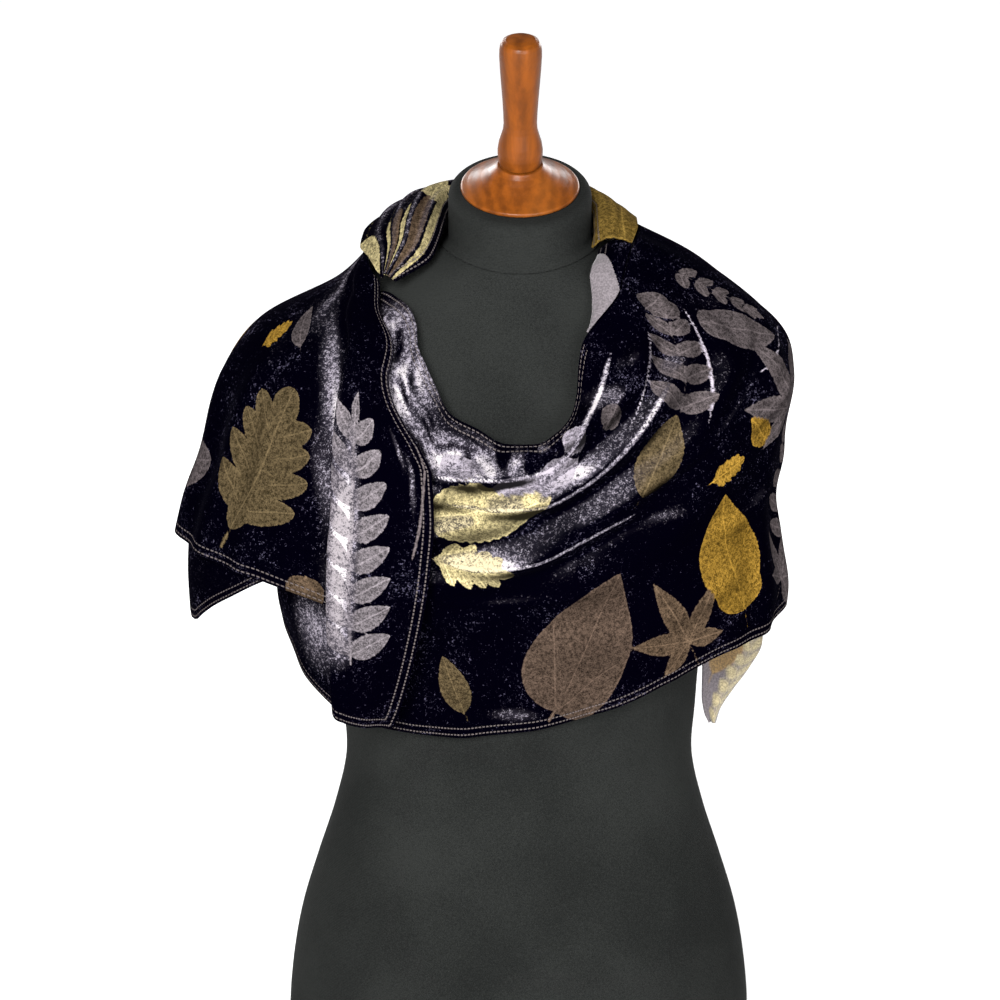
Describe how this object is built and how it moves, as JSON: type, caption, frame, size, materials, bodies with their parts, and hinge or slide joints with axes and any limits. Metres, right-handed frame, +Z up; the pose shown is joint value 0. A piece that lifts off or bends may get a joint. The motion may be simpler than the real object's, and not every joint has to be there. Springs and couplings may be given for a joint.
{
  "type": "velvet scarf on a dress form",
  "caption": "Wide velvet scarf wrapped round the shoulders of a limbless dress form, with a cowl, a gathered collar and an end hanging over the chest; wooden neck cap with handle.",
  "frame": {"origin": "on the form's flat underside, on its upright axis", "axes": "+Z up, -Y towards the form's front, +X towards the viewer's right when the front is seen"},
  "size_m": [0.4789, 0.2947, 0.8416],
  "materials": {
    "form_cover": "dark grey-green knitted cover, matt",
    "turned_wood": "warm orange-brown, lacquered",
    "velvet": "blue-black velvet with a printed leaf pattern",
    "velvet_wrong_side": "pale lilac-grey back of the velvet"
  },
  "bodies": {
    "root": {"form_torso": "form_cover", "form_neck": "form_cover", "neck_cap": "turned_wood", "handle": "turned_wood", "scarf_front": "velvet", "scarf_left_end": "velvet", "scarf_back": "velvet", "scarf_collar": "velvet", "scarf_under_corner": "velvet", "scarf_back_tail": "velvet_wrong_side", "scarf_turned_edge": "velvet_wrong_side"}
  },
  "joints": []
}
